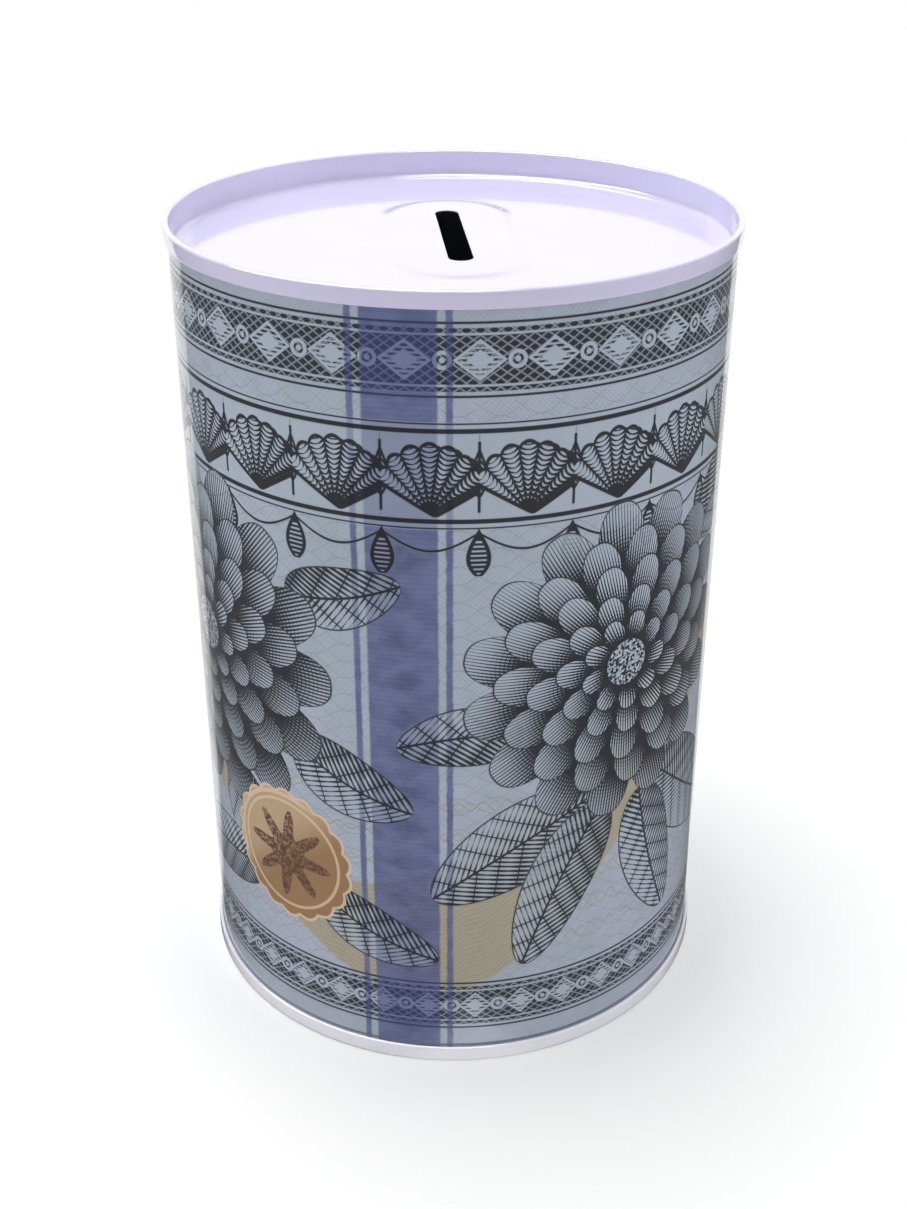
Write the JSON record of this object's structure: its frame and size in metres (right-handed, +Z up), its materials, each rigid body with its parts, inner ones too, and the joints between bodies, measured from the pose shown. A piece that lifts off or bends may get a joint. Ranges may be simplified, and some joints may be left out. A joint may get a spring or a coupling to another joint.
{
  "type": "tin money box",
  "caption": "Sealed cylindrical tin money box with double-seamed ends, a recessed lid with a raised pad round its coin slot, and an engraved-style print.",
  "frame": {"origin": "middle of the circle that the bottom rim stands on", "axes": "+Z up along the can's axis, the coin slot runs along Y, the side seam is on the +Y side, the viewed front is -Y"},
  "size_m": [0.101, 0.101, 0.1495],
  "materials": {
    "printed_body": "gloss varnish over print",
    "white_lacquer": "gloss",
    "bottom_lacquer": "gloss",
    "lining_compound": "matt"
  },
  "bodies": {
    "root": {"body_shell": "printed_body", "top_end": "white_lacquer", "bottom_end": "bottom_lacquer", "top_seam_compound": "lining_compound", "bottom_seam_compound": "lining_compound"}
  },
  "joints": []
}
